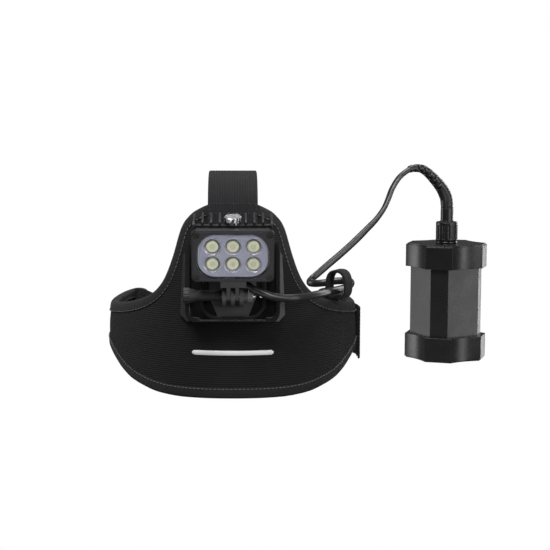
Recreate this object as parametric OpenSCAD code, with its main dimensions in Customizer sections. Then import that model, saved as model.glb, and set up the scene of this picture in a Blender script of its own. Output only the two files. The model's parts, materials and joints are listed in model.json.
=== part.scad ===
// Head-worn work lamp: padded forehead harness, tilting six-light head and remote battery pack.
// Millimetres. +X is the wearer's left-to-right as seen from the front, -Y is forwards, +Z is up.

/* [Harness] */
// Outer radius of the head pad
pad_radius = 100; // [98:0.5:101]
// Thickness of the padding
pad_thick = 6; // [5:0.5:7]
// Width of the strap over the crown
crown_strap_w = 38; // [30:1:40]
// Width of the strap round the back
back_strap_w = 42; // [36:1:43]
// Backward lean of the lamp tray in degrees
lean = 12.5; // [11.5:0.5:13.5]

/* [Lamp head] */
// Width of the lamp head
lamp_w = 59.5; // [58:0.5:61]
// Forward tilt of the lamp head at rest in degrees
tilt = 13; // [8:1:18]
// Radius of the pivot screw
pivot_r = 2.5; // [2.4:0.05:2.5]
// Spacing of the six lights across
light_gap_x = 14.8; // [14.5:0.1:15]
// Spacing of the six lights up and down
light_gap_z = 13.2; // [13:0.1:13.4]

/* [Battery pack] */
// Width of the battery body across its flats
pack_w = 52.5; // [52:0.5:53]
// Total height of the battery pack
pack_h = 100; // [100:1:104]
// Width of the rubber end caps
cap_w = 63.5; // [62.5:0.5:65]

/* [Lead] */
// Diameter of the lead
lead_d = 5; // [4.5:0.5:5]

/* [Hidden] */
$fn = 64;
fit_gap = 0.05;    // running clearance on a radius

// Battery place, as seen from the middle of the head
pack_x = 185.2;
pack_y = 84;
pack_turn = 26.4;
cap_leg = 16.5;
cap_corner = [cap_w / 2, cap_w / 2 - cap_leg];
pack_reach = norm(cap_corner) * cos(pack_turn - atan2(cap_corner[1], cap_corner[0]));

// Front of the lamp and middle of the whole
front_y = -147.4;
shift_x = -(pack_x + pack_reach - pad_radius) / 2;
shift_y = -(pack_y + pack_reach + front_y) / 2;

// Tray plane and pivot
tray_z = 85;
pad_grow = 225;    // radius of the pad's backward curve above its straight band
band_z = 35;
tray_y = -head_r(tray_z);
pivot_out = 23.2;
pivot_drop = 9.1;
pivot_y = tray_y - pivot_out * cos(lean) - pivot_drop * sin(lean);
pivot_z = tray_z + pivot_out * sin(lean) - pivot_drop * cos(lean);

// Pad outline: angle from the front against height, mirrored left and right
pad_end = 131;
pad_top = [
    [0, 145.5], [12, 145.5], [21, 141], [26, 135.5], [29.5, 126], [31, 108], [33.5, 92],
    [37, 82], [42, 75.5], [50, 70.5], [62, 66.5], [90, 62], [122, 65], [128, 63], [131, 58]
];
pad_low = [
    [0, 0], [22, 0], [30, 0.8], [37, 2.2], [43, 4.5], [52, 8.5], [60, 14], [68, 20], [78, 25],
    [95, 27.5], [122, 30], [128, 32], [131, 37]
];
pad_steps = concat(
    [for (a = [-131 : 6 : -47]) a], [for (a = [-43 : 2 : -23]) a], [for (a = [-18 : 6 : 18]) a],
    [for (a = [23 : 2 : 43]) a], [for (a = [47 : 6 : 131]) a]
);

// Crown strap: middle of its thickness from the forehead over to the back, y and z
crown_path = [
    [-83.2, 127], [-79.4, 136], [-74.4, 145], [-66, 154], [-52, 161], [-34, 164.8], [-12, 166.2],
    [14, 164.8], [40, 157.5], [62, 144], [78, 122.5], [87, 97], [90.5, 68], [91.5, 24]
];

// Lead route from the lamp to the battery plug
lead_lamp_route = [
    [15, -125.3, 86.6], [22, -124.6, 83.6], [29, -122.4, 81], [36, -119.2, 79.4], [42, -116, 78.8]
];
lead_mid_route = [
    [42.4, -115.8, 78.8], [49.7, -110, 78.6], [60.1, -98, 78.6], [68.5, -84, 78.4], [77, -66, 77.8],
    [84.4, -52, 77.4], [89.7, -40, 77.4], [94, -28, 77.8], [94.9, -16, 78.2], [90.7, -6, 78],
    [82.7, -3, 77.4], [73.7, -3, 76], [66.3, 0.5, 75], [62.5, 8, 75], [64.8, 16, 76.8],
    [71.4, 21, 81.6], [79.5, 25.4, 88], [91.7, 31, 97.6], [103.9, 37, 108]
];
lead_pack_route = [
    [104.1, 37.1, 108.2], [112, 41, 115.6], [120.1, 44.8, 123.4], [126.8, 49, 132], [130.8, 52, 140],
    [134.8, 55, 149.4], [141.3, 59, 158.6], [149.6, 63.6, 164.4]
];
relief_route = [
    [149.9, 63.8, 164.5], [154.7, 66.3, 165.4], [160.1, 69.2, 165], [164.8, 71.8, 162.6], [169.3, 74.4, 158.9],
    [173.8, 77, 154.4], [178.1, 79.6, 149.6], [181.7, 81.8, 144.4], [184.2, 83.3, 138.6], [185.2, 84, 131.2]
];

// ---- curves ----
function head_r(z) = pad_radius - pow(max(0, z - band_z), 2) / (2 * pad_grow);
function part_of(p, x, i = 0) = i >= len(p) - 2 || x < p[i + 1][0] ? i : part_of(p, x, i + 1);
function rise(p, i) =
    i == 0 || i == len(p) - 1 ? 0 : (p[i + 1][1] - p[i - 1][1]) / (p[i + 1][0] - p[i - 1][0]);
// Smooth curve through the points of p, read at x
function curve(p, x) =
    let (
        i = part_of(p, x),
        w = p[i + 1][0] - p[i][0],
        t = (x - p[i][0]) / w,
        m = rise(p, i) * w,
        n = rise(p, i + 1) * w
    )
    (2 * t * t * t - 3 * t * t + 1) * p[i][1] + (t * t * t - 2 * t * t + t) * m
    + (3 * t * t - 2 * t * t * t) * p[i + 1][1] + (t * t * t - t * t) * n;
function unit(v) = v / norm(v);

// ---- faces of swept skins ----
// rings of equal length n, closed round, capped at both ends
function tube_faces(rings, n) = concat(
    [[for (k = [n - 1 : -1 : 0]) k]],
    [for (i = [0 : rings - 2]) for (k = [0 : n - 1])
        [i * n + k, i * n + (k + 1) % n, (i + 1) * n + (k + 1) % n, (i + 1) * n + k]],
    [[for (k = [0 : n - 1]) (rings - 1) * n + k]]
);

// Tube along a route; start and end are the directions that the end faces look
module tube(route, radii, sides, start, end, side_ref = [0, 0, 1]) {
    n = len(route);
    rings = [for (i = [0 : n - 1])
        let (
            t = i == 0 ? start : i == n - 1 ? end : unit(unit(route[i + 1] - route[i]) + unit(route[i] - route[i - 1])),
            u = unit(cross(t, side_ref)),
            v = cross(t, u)
        )
        for (k = [0 : sides - 1])
            route[i] + radii[i] * (u * cos(360 * k / sides) + v * sin(360 * k / sides))];
    polyhedron(points = rings, faces = tube_faces(n, sides), convexity = 6);
}

// ---- frames ----
module place() {
    translate([shift_x, shift_y, 0]) children();
}
module at_tray() {
    place() translate([0, tray_y, tray_z]) rotate([-lean, 0, 0]) children();
}
module at_lamp() {
    place() translate([0, pivot_y, pivot_z]) rotate([tilt, 0, 0]) children();
}
module at_pack() {
    place() translate([pack_x, pack_y, 0]) rotate([0, 0, pack_turn]) children();
}
// Rounded rectangle in the plane
module round_rect(w, h, r) {
    square([w - 2 * r, h], center = true);
    square([w, h - 2 * r], center = true);
    for (x = [-1, 1]) for (y = [-1, 1])
        translate([x * (w / 2 - r), y * (h / 2 - r)]) circle(r);
}
// Outline in X and Z, pushed back along Y from front to back
module push_y(front, back) {
    translate([0, back, 0]) rotate([90, 0, 0]) linear_extrude(back - front) children();
}
module rod_x(r, x0, x1) {
    translate([x0, 0, 0]) rotate([0, 90, 0]) cylinder(r = r, h = x1 - x0);
}

// ---- harness ----
// Pad outline point k, unrolled: first the lower edge left to right, then the upper edge back
pad_n = len(pad_steps);
function edge_point(k) =
    let (
        low = k < pad_n,
        a = low ? pad_steps[k] : pad_steps[2 * pad_n - 1 - k],
        z = curve(low ? pad_low : pad_top, abs(a))
    )
    [pad_radius * a * PI / 180, z];
function edge_inset(k, d) =
    let (
        m = 2 * pad_n,
        t = unit(edge_point((k + 1) % m) - edge_point((k + m - 1) % m))
    )
    edge_point(k) + d * [-t[1], t[0]];
function on_head(p, depth) =
    let (a = p[0] / pad_radius * 180 / PI, r = head_r(p[1]) - depth)
    [r * sin(a), -r * cos(a), p[1]];

module pad_shell() {
    rows = 8;
    inset = 2.8;
    half = (rows + 1);
    rings = [for (k = [0 : pad_n - 1])
        let (a = edge_inset(k, inset), b = edge_inset(2 * pad_n - 1 - k, inset))
        concat(
            [for (j = [0 : rows]) on_head(a + (b - a) * j / rows, 0)],
            [for (j = [rows : -1 : 0]) on_head(a + (b - a) * j / rows, pad_thick)]
        )];
    color([0.1, 0.1, 0.11]) place()
        polyhedron(
            points = [for (ring = rings) for (p = ring) p],
            faces = tube_faces(pad_n, 2 * half),
            convexity = 8
        );
}

module edge_binding() {
    m = 2 * pad_n;
    corners = [for (k = [0 : m - 1])
        for (c = [[0, 0], [2.5, 0], [2.5, pad_thick], [0, pad_thick]])
            on_head(edge_inset(k, c[0]), c[1])];
    color([0.22, 0.22, 0.23]) place()
        polyhedron(
            points = corners,
            faces = [for (k = [0 : m - 1]) for (c = [0 : 3])
                [k * 4 + c, k * 4 + (c + 1) % 4, ((k + 1) % m) * 4 + (c + 1) % 4, ((k + 1) % m) * 4 + c]],
            convexity = 8
        );
}

module crown_strap() {
    half = 0.9;
    n = len(crown_path);
    along = [for (i = [0 : n - 1]) unit(crown_path[min(i + 1, n - 1)] - crown_path[max(i - 1, 0)])];
    outer = [for (i = [0 : n - 1]) crown_path[i] + half * [-along[i][1], along[i][0]]];
    inner = [for (i = [n - 1 : -1 : 0]) crown_path[i] - half * [-along[i][1], along[i][0]]];
    color([0.13, 0.13, 0.14]) place()
        rotate([90, 0, 90]) linear_extrude(crown_strap_w, center = true) polygon(concat(outer, inner));
}

// Upright band round the head: outer radius and lower edge follow the angle
module band(from, to, step, radius, low, high, thick) {
    rings = [for (a = [from : step : to])
        let (r = curve(radius, a), z0 = curve(low, a), z1 = curve(high, a))
        for (c = [[r, z0], [r, z1], [r - thick, z1], [r - thick, z0]])
            [c[0] * sin(a), -c[0] * cos(a), c[1]]];
    polyhedron(points = rings, faces = tube_faces(len(rings) / 4, 4), convexity = 6);
}

strap_r = [[84, 103.6], [132, 103.6], [160, 98.5], [200, 96.5], [226, 91.5], [244, 91.5]];
strap_low = [[84, 15], [132, 10], [180, 0], [216, 10], [244, 24]];
strap_high = [for (p = strap_low) [p[0], p[1] + back_strap_w]];

module back_strap() {
    color([0.12, 0.12, 0.13]) place() band(84, 244, 5, strap_r, strap_low, strap_high, 2);
}

module hook_tab() {
    tab_r = [[84, 101.4], [124, 101.4]];
    tab_low = [[84, 17], [124, 13]];
    tab_high = [[84, 55], [124, 51]];
    color([0.2, 0.2, 0.21]) place() band(84, 124, 5, tab_r, tab_low, tab_high, 1);
}

module lead_keeper() {
    wall = 2;
    color([0.11, 0.11, 0.12]) place()
        translate([82.2, -56, 81.6]) rotate([0, 0, 62]) rotate([90, 0, 90]) linear_extrude(13, center = true)
            difference() {
                round_rect(17.6, 23, 7.4);
                round_rect(17.6 - 2 * wall, 23 - 2 * wall, 7.4 - wall);
            }
}

// ---- tray and buckle ----
tray_w = 70.5;
tray_low = -28;
tray_top = 33.5;
tray_front = -15;
tray_skin = 2;
tray_floor = -4.6;    // front face of the tray's floor
rivet_spots = [[-21.4, 4], [21.4, 4], [-21.4, -7], [21.4, -7]];

module at_rivets() {
    for (p = rivet_spots) translate([p[0], 0, p[1]]) rotate([90, 0, 0]) children();
}
module tray_outline(side) {
    r = 8;
    translate([0, (tray_low + tray_top) / 2])
        round_rect(tray_w - 2 * side, tray_top - tray_low - 2 * side, r - side);
}
module tray_ring() {
    difference() {
        tray_outline(0);
        tray_outline(3.4);
        translate([0, tray_top]) square([tray_w - 6.8, 14], center = true);
        // step for the receiver's lower rim
        translate([-rail_out - 0.1, rail_low - 0.1]) square([2 * rail_out + 0.2, 10]);
    }
}

module base_plate() {
    r_in = 97.5;
    top_w = 75;
    low_w = 79;
    color([0.08, 0.08, 0.09]) at_tray()
        difference() {
            intersection() {
                translate([0, r_in - 0.4, -32]) difference() {
                    cylinder(r = r_in + 1.8, h = 66, $fn = 128);
                    translate([0, 0, -1]) cylinder(r = r_in, h = 68, $fn = 128);
                }
                push_y(-4, 12) polygon([
                    [-low_w / 2 + 5, -26.5], [low_w / 2 - 5, -26.5], [low_w / 2, -21], [top_w / 2, 24],
                    [top_w / 2 - 5, 30], [-top_w / 2 + 5, 30], [-top_w / 2, 24], [-low_w / 2, -21]
                ]);
            }
            at_rivets() cylinder(r = 1.6, h = 20, center = true);
        }
}

module mount_tray() {
    color([0.07, 0.07, 0.08]) at_tray()
        difference() {
            union() {
                push_y(tray_floor, tray_floor + tray_skin) tray_outline(0.5);
                push_y(tray_front, tray_floor + 0.5) tray_ring();
                for (x = [-1, 1]) translate([x * (tray_w / 2 - 1.7), 0, 2])
                    translate([-1.7, tray_floor, -21]) cube([3.4, 7.5, 44]);
            }
            at_rivets() cylinder(r = 1.6, h = 20, center = true);
        }
}

module tray_rivets() {
    color([0.75, 0.75, 0.77]) at_tray()
        at_rivets() {
            translate([0, 0, -1.7]) cylinder(r = 1.55, h = 6.32);
            translate([0, 0, 4.61]) cylinder(r = 2.2, h = 0.7);
            translate([0, 0, 5.3]) cylinder(r1 = 2.2, r2 = 1.3, h = 0.5);
        }
}

rail_in = 22;
rail_out = 24.6;
rail_low = -26.2;
rail_top = 12;
plate_half = 17.5;

// U outline with round lower corners, open at the top
module u_shape(half, low, r) {
    translate([-half, low + r]) square([2 * half, rail_top - low - r]);
    translate([-half + r, low]) square([2 * half - 2 * r, r + 1]);
    for (x = [-1, 1]) translate([x * (half - r), low + r]) circle(r);
}

module receiver() {
    color([0.06, 0.06, 0.07]) at_tray()
        difference() {
            union() {
                push_y(-12.4, tray_floor - 0.02) difference() {
                    u_shape(rail_out, rail_low, 13.5);
                    u_shape(rail_in, rail_low + 2.6, 11);
                    translate([-rail_in, 0]) square([2 * rail_in, 40]);
                }
                for (x = [-1, 1]) translate([x * (plate_half + 0.4 + rail_in + 0.5) / 2, 0, 0])
                    push_y(-9.8, -7.4) translate([-(rail_in - plate_half + 0.1) / 2, -5])
                        square([rail_in - plate_half + 0.1, rail_top + 5]);
            }
            at_rivets() cylinder(r = 2.5, h = 25);
        }
}

prong_gap = 6.35;
prong_t = 3;
module prong(x) {
    translate([x - prong_t / 2, 0, 0]) {
        rod_x(7.5, 0, prong_t);
        translate([0, 0, -7.5]) cube([prong_t, pivot_out - 9.9, 15]);
    }
}

module buckle() {
    color([0.1, 0.1, 0.11]) at_tray()
        difference() {
            union() {
                push_y(-10.4, -7) polygon([
                    [-11.5, -23.4], [11.5, -23.4], [plate_half, -9], [plate_half, 13], [14.5, 16],
                    [-14.5, 16], [-plate_half, 13], [-plate_half, -9]
                ]);
                push_y(-7.1, -5) polygon([
                    [-18.8, -8], [18.8, -8], [18.8, 14], [16, 16], [-16, 16], [-18.8, 14]
                ]);
                translate([0, -pivot_out, -pivot_drop]) {
                    for (i = [-1 : 1]) prong(i * prong_gap);
                    rod_x(5.4, prong_gap + prong_t / 2 - 0.01, 11);
                }
            }
            translate([0, -pivot_out, -pivot_drop]) rod_x(pivot_r + fit_gap, -20, 20);
            // slots that let the latch fingers bend
            for (x = [-1, 1]) translate([x * 11, 0, 10]) push_y(-12, -4) round_rect(1.6, 10, 0.7);
            // pocket of the nut
            translate([9.2, -pivot_out, -pivot_drop]) rotate([0, 90, 0]) cylinder(r = 4.7, h = 3, $fn = 6);
        }
}

module clamp_nut() {
    color([0.8, 0.8, 0.82]) at_tray() translate([0, -pivot_out, -pivot_drop])
        difference() {
            translate([9.3, 0, 0]) rotate([0, 90, 0]) cylinder(r = 4.6, h = 5.6, $fn = 6);
            rod_x(pivot_r + fit_gap, -20, 20);
        }
}

module clamp_screw() {
    color([0.7, 0.7, 0.72]) at_tray() translate([0, -pivot_out, -pivot_drop]) rod_x(pivot_r, -30, 16.4);
}

module thumb_knob() {
    color([0.1, 0.1, 0.11]) at_tray() translate([0, -pivot_out, -pivot_drop])
        difference() {
            union() {
                rod_x(3.8, -26.8, -8.1);
                rod_x(4.3, -12.4, -8.1);
                translate([-32.1, 0, 0]) rotate([0, 90, 0]) cylinder(r1 = 5.7, r2 = 3.8, h = 5.5);
                rod_x(5.9, -36.2, -32);
            }
            rod_x(pivot_r, -30.2, 0);
            for (a = [0 : 30 : 330]) rotate([a, 0, 0]) translate([-38, 0, 6.45]) rod_x(0.85, 0, 6.4);
        }
}

// ---- lamp head ----
lamp_low = 16;
lamp_high = 54.8;
lamp_mid = (lamp_low + lamp_high) / 2;
bezel_front = -15;
bezel_back = -9;
lens_w = 52.6;
lens_h = 33.4;
lens_r = 13.8;
fins = 10;
fin_gap = 6.23;
fin_t = 1.5;
body_front = -8.4;
body_back = 11;
body_high = 50;
light_spots = [for (i = [-1 : 1]) for (j = [-0.5, 0.5]) [i * light_gap_x, lamp_mid + j * light_gap_z]];
foot_bolt = 6.4;
screw_spots = [for (x = [-1, 1]) for (z = [-1, 1]) [x * (lamp_w / 2 - 3.4), lamp_mid + z * 15.9]];

module at_lights() {
    for (p = light_spots) translate([p[0], 0, p[1]]) rotate([90, 0, 0]) children();
}
module at_corners() {
    for (p = screw_spots) translate([p[0], 0, p[1]]) rotate([90, 0, 0]) children();
}
module lamp_face(side, r) {
    translate([0, lamp_mid]) round_rect(lamp_w - 2 * side, lamp_high - lamp_low - 2 * side, r);
}
module lens_face(side) {
    translate([0, lamp_mid]) round_rect(lens_w - 2 * side, lens_h - 2 * side, lens_r - side);
}

// One cooling fin in the plane of Y and Z
module fin_side(front, back, low, high) {
    polygon([
        [front, low], [back - 5, low], [back, low + 5], [back, high - 7], [back - 4, high],
        [front + 1, high], [front, high - 1.5]
    ]);
}
module fin(x, front, back, low, high, t) {
    translate([x, 0, 0]) rotate([90, 0, 90]) linear_extrude(t, center = true) fin_side(front, back, low, high);
}

module lamp_housing() {
    color([0.09, 0.09, 0.1]) at_lamp()
        difference() {
            union() {
                push_y(body_front, body_back) translate([0, (lamp_low + body_high) / 2])
                    round_rect(56, body_high - lamp_low, 3);
                push_y(body_front, -6.4) lamp_face(0.6, 3.4);
                push_y(-5.4, -2) translate([0, 52.4]) square([57.4, 7], center = true);
                for (i = [0 : fins - 1]) let (x = (i - (fins - 1) / 2) * fin_gap, inner = abs(x) < 7) {
                    if (i == 0 || i == fins - 1) fin(x, body_front, 17, lamp_low - 1, 59, 1.9);
                    else fin(x, inner ? 8.6 : -5.4, 18, lamp_low, 59.5, fin_t);
                }
            }
            // seat of the optic plate and room for the boards
            push_y(-12, -6.42) lens_face(1);
            push_y(-12, 8.2) translate([0, 33.2]) round_rect(50, 29, 4);
            // seat of the push button
            translate([0, 0.6, 40]) cylinder(r = 5.05, h = 30);
            translate([0, 0.6, 49.6]) cylinder(r = 7, h = 30);
            at_corners() translate([0, 0, -2]) cylinder(r = 1.25, h = 14);
            for (x = [-foot_bolt, foot_bolt]) translate([x, 3, 10]) cylinder(r = 1.05, h = 8.6);
            for (i = [0 : fins - 2]) translate([(i - (fins - 2) / 2) * fin_gap, 0, 0])
                push_y(-6.2, -5.3) translate([0, 55]) square([2.4, 2], center = true);
        }
}

module housing_seal() {
    color([0.05, 0.05, 0.05]) at_lamp()
        push_y(-8.95, -8.45) difference() {
            lens_face(-0.9);
            lens_face(1);
        }
}

module front_bezel() {
    color([0.08, 0.08, 0.09]) at_lamp()
        difference() {
            union() {
                push_y(bezel_front + 0.8, bezel_back) lamp_face(0, 4);
                push_y(bezel_front, bezel_front + 0.9) lamp_face(0.8, 3.4);
            }
            push_y(-20, -13.1) lens_face(-0.15);
            push_y(-20, 0) lens_face(0.9);
            at_corners() {
                cylinder(r = 1.45, h = 30);
                translate([0, 0, 12.6]) cylinder(r = 2.3, h = 10);
            }
        }
}

module bezel_screws() {
    color([0.16, 0.16, 0.17]) at_lamp()
        at_corners() {
            difference() {
                union() {
                    translate([0, 0, -1.8]) cylinder(r = 1.22, h = 14.6);
                    translate([0, 0, 12.65]) cylinder(r = 2.1, h = 1.3);
                }
                translate([0, 0, 13.2]) cylinder(r = 1, h = 2, $fn = 6);
            }
        }
}

module lens_cover() {
    color([0.9, 0.92, 0.95, 0.3]) at_lamp() push_y(-15.1, -13.65) lens_face(0.1);
}

module lens_gasket() {
    color([0.15, 0.15, 0.16]) at_lamp()
        push_y(-13.62, -13.12) difference() {
            lens_face(-0.1);
            lens_face(0.85);
        }
}

cup_front = 13.3;    // distances out of the pivot plane
cup_back = 6.5;
module optic_plate() {
    color([0.72, 0.72, 0.76]) at_lamp()
        difference() {
            push_y(-cup_front, -cup_back) lens_face(1.1);
            at_lights() translate([0, 0, cup_back - 0.1])
                cylinder(r1 = 3.4, r2 = 6.45, h = cup_front - cup_back + 0.2);
        }
}

module light_domes() {
    color([0.95, 0.95, 0.75, 0.6]) at_lamp()
        at_lights() translate([0, 0, cup_back + 0.6]) {
            cylinder(r1 = 2.9, r2 = 4.4, h = 4.4);
            translate([0, 0, 4.4]) cylinder(r1 = 4.4, r2 = 3.7, h = 0.6);
        }
}

module light_chips() {
    color([0.95, 0.9, 0.45]) at_lamp()
        at_lights() {
            translate([0, 0, 5.92]) cylinder(r = 2.6, h = 0.25);
            translate([0, 0, 6.16]) cylinder(r = 1.6, h = 0.26);
        }
}

module light_board() {
    color([0.85, 0.85, 0.82]) at_lamp()
        push_y(-5.9, -4.4) translate([0, 33.2]) round_rect(48, 27, 3);
}

module driver_board() {
    color([0.1, 0.35, 0.2]) at_lamp() {
        push_y(2, 3.6) translate([0, 33.2]) difference() {
            round_rect(44, 24, 2);
            translate([0, 12]) square([12, 10], center = true);
        }
        translate([-14, 3.5, 30]) cube([9, 3.4, 9]);
        translate([8, 3.5, 27]) cube([6, 2, 5]);
        translate([16, 3.5, 36]) rotate([-90, 0, 0]) cylinder(r = 3, h = 3.6);
    }
}

module mount_foot() {
    color([0.09, 0.09, 0.1]) at_lamp()
        difference() {
            union() {
                translate([-9, -8, 8.8]) cube([18.8, 15.4, 7.15]);
                for (x = [-1, 1]) translate([x * prong_gap / 2 - 1.45, 0, 0]) {
                    rod_x(7.3, 0, 2.9);
                    translate([0, -7.3, 0]) cube([2.9, 14.6, 9.5]);
                }
            }
            rod_x(pivot_r + fit_gap, -20, 20);
            for (x = [-foot_bolt, foot_bolt]) translate([x, 3, 0]) {
                cylinder(r = 1.1, h = 20);
                cylinder(r = 1.65, h = 11.4);
            }
        }
}

module foot_screws() {
    color([0.65, 0.65, 0.68]) at_lamp()
        for (x = [-foot_bolt, foot_bolt]) translate([x, 3, 0]) {
            translate([0, 0, 9.4]) cylinder(r = 1.6, h = 1.98);
            translate([0, 0, 11.3]) cylinder(r = 1, h = 7);
        }
}

module lead_gland() {
    color([0.06, 0.06, 0.07]) place()
        tube(
            [[9.9, -124.6, 89.4], [11.6, -124.8, 88.6], [13.3, -125, 87.6], [14.9, -125.3, 86.7]],
            [3.3, 3.1, 2.9, 2.7], 24, [1, 0, 0], unit([0.9, -0.06, -0.42])
        );
}

module switch_body() {
    color([0.4, 0.4, 0.42]) at_lamp() translate([0, 0.6, 0])
        difference() {
            union() {
                translate([0, 0, 47]) cylinder(r = 5, h = 6);
                translate([0, 0, 49.65]) cylinder(r = 6.8, h = 6.4);
            }
            translate([0, 0, 54]) cylinder(r = 5.5, h = 6);
        }
}

module switch_dome() {
    color([0.75, 0.75, 0.78]) at_lamp() translate([0, 0.6, 54.02]) {
        cylinder(r1 = 3.6, r2 = 2.4, h = 0.5);
        translate([0, 0, 0.5]) cylinder(r1 = 2.4, r2 = 0.8, h = 0.35);
    }
}

module switch_cap() {
    color([0.85, 0.85, 0.87]) at_lamp() translate([0, 0.6, 0]) {
        translate([0, 0, 55.9]) cylinder(r = 5.2, h = 2);
        translate([0, 0, 57.4]) cylinder(r = 6.3, h = 2.9);
        translate([0, 0, 60.3]) cylinder(r1 = 6.3, r2 = 5.8, h = 0.5);
    }
}

// ---- battery pack ----
body_leg = 10.7;
module octagon(w, leg) {
    h = w / 2;
    polygon([
        [h, h - leg], [h - leg, h], [leg - h, h], [-h, h - leg],
        [-h, leg - h], [leg - h, -h], [h - leg, -h], [h, leg - h]
    ]);
}
// Cap outline: an octagon with one shallow hollow along each side
module cap_shape(w) {
    hollow_r = 56;
    hollow = 2.4;
    difference() {
        octagon(w, cap_leg);
        for (a = [0 : 90 : 270]) rotate(a) translate([w / 2 + hollow_r - hollow, 0]) circle(hollow_r, $fn = 128);
    }
}
cap_low = 21;
cap_top = 20;
shell_wall = 2.2;

module pack_shell() {
    color([0.05, 0.05, 0.06]) at_pack() translate([0, 0, 7])
        linear_extrude(pack_h - 14) difference() {
            octagon(pack_w, body_leg);
            octagon(pack_w - 2 * shell_wall, body_leg - shell_wall * 0.586);
        }
}

module cap_body(high) {
    step = 1;
    linear_extrude(high - step) cap_shape(cap_w);
    translate([0, 0, high - step - 0.01]) linear_extrude(step + 0.01) cap_shape(cap_w - 1.6);
}

module bottom_cap() {
    color([0.05, 0.05, 0.05]) at_pack()
        difference() {
            translate([0, 0, cap_low]) mirror([0, 0, 1]) cap_body(cap_low);
            translate([0, 0, 6]) linear_extrude(30) octagon(pack_w + 0.2, body_leg + 0.06);
        }
}

module top_cap() {
    color([0.05, 0.05, 0.05]) at_pack()
        difference() {
            translate([0, 0, pack_h - cap_top]) cap_body(cap_top);
            translate([0, 0, pack_h - cap_top - 1]) linear_extrude(cap_top - 5) octagon(pack_w + 0.2, body_leg + 0.06);
            translate([0, 0, 60]) cylinder(r = 9.05, h = 60);
        }
}

module cap_seals() {
    color([0.12, 0.12, 0.12]) at_pack()
        for (z = [6.05, pack_h - 6.95]) translate([0, 0, z]) linear_extrude(0.9) difference() {
            octagon(pack_w, body_leg);
            octagon(pack_w - 5, body_leg - 1.46);
        }
}

cell_r = 10.5;
cell_gap = 10.8;
cell_low = 11;
cell_h = 70;
module at_cells() {
    for (x = [-1, 1]) for (y = [-1, 1]) translate([x * cell_gap, y * cell_gap, 0]) children();
}

module cells() {
    color([0.2, 0.45, 0.7]) at_pack() at_cells() {
        translate([0, 0, cell_low]) cylinder(r = cell_r, h = cell_h - 0.6);
        translate([0, 0, cell_low + cell_h - 0.61]) cylinder(r = 4, h = 0.61);
    }
}

module cell_holders() {
    color([0.15, 0.15, 0.16]) at_pack()
        for (z = [cell_low + 1, cell_low + cell_h - 6]) translate([0, 0, z]) difference() {
            linear_extrude(4.5) octagon(pack_w - 2 * shell_wall - 0.4, body_leg - shell_wall * 0.586);
            at_cells() translate([0, 0, -1]) cylinder(r = cell_r + 0.06, h = 10);
            translate([0, 0, -1]) cylinder(r = 3, h = 10);
        }
}

module cell_links() {
    color([0.78, 0.78, 0.76]) at_pack() {
        for (x = [-1, 1]) translate([x * cell_gap - 3.5, -15, cell_low + cell_h + 0.02]) cube([7, 30, 0.25]);
        for (y = [-1, 1]) translate([-15, y * cell_gap - 3.5, cell_low - 0.27]) cube([30, 7, 0.25]);
    }
}

module protection_board() {
    color([0.1, 0.35, 0.2]) at_pack() {
        translate([0, 0, cell_low + cell_h + 1.2]) linear_extrude(1.6) octagon(42, 9);
        translate([6, -16, cell_low + cell_h + 2.79]) cube([8, 6, 2]);
        translate([-15, 6, cell_low + cell_h + 2.79]) cube([6, 8, 1.6]);
    }
}

boss_top = pack_h + 11;
module pack_socket() {
    color([0.2, 0.2, 0.21]) at_pack()
        difference() {
            union() {
                translate([0, 0, pack_h - 8.5]) cylinder(r = 11.5, h = 2.4);
                translate([0, 0, pack_h - 8.5]) cylinder(r = 9, h = 8.4);
                translate([0, 0, pack_h - 1]) cylinder(r = 6.6, h = boss_top - pack_h + 1);
            }
            translate([0, 0, pack_h + 2]) cylinder(r = 4.6, h = 20);
        }
}

module socket_seal() {
    color([0.03, 0.03, 0.03]) at_pack() translate([0, 0, pack_h + 0.9])
        rotate_extrude() translate([8.4, 0]) circle(0.85);
}

// ---- plug ----
ring_low = pack_h + 1.85;
ring_high = ring_low + 16.6;
neck_top = 131;
module lock_ring() {
    grips = 12;
    color([0.06, 0.06, 0.07]) at_pack()
        difference() {
            union() {
                translate([0, 0, ring_low]) cylinder(r1 = 8.7, r2 = 9.3, h = 1);
                translate([0, 0, ring_low + 1]) cylinder(r = 9.3, h = ring_high - ring_low - 1.6);
                translate([0, 0, ring_high - 0.6]) cylinder(r1 = 9.3, r2 = 8.8, h = 0.6);
            }
            translate([0, 0, ring_low - 1]) cylinder(r = 6.95, h = 11.5);
            translate([0, 0, ring_low - 1]) cylinder(r = 5.5 + fit_gap, h = 30);
            for (i = [0 : grips - 1]) rotate(360 * i / grips + 8)
                translate([10.1, 0, ring_low + 1.6]) cylinder(r = 1.5, h = ring_high - ring_low - 4.4);
        }
}

module plug_body() {
    color([0.07, 0.07, 0.08]) at_pack() {
        translate([0, 0, boss_top - 4]) cylinder(r = 4.4, h = 5);
        translate([0, 0, boss_top + 0.1]) cylinder(r = 5.5, h = neck_top - boss_top - 1.3);
        translate([0, 0, neck_top - 1.25]) cylinder(r = 5.1, h = 0.7);
        translate([0, 0, neck_top - 0.6]) cylinder(r = 5.5, h = 0.6);
        translate([0, 0, ring_high + 0.1]) cylinder(r = 6, h = 0.8);
    }
}

module contact_pins() {
    color([0.85, 0.7, 0.3]) at_pack()
        for (a = [30 : 120 : 270]) rotate(a) translate([2.4, 0, pack_h + 3]) cylinder(r = 0.6, h = boss_top - pack_h - 7.02);
}

module strain_relief() {
    n = len(relief_route);
    color([0.07, 0.07, 0.08]) place()
        tube(
            relief_route, [for (i = [0 : n - 1]) 3.3 + 2.1 * i / (n - 1)], 16,
            unit([0.87, 0.48, 0]), [0, 0, -1], unit([0.48, -0.87, 0])
        );
}

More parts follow.
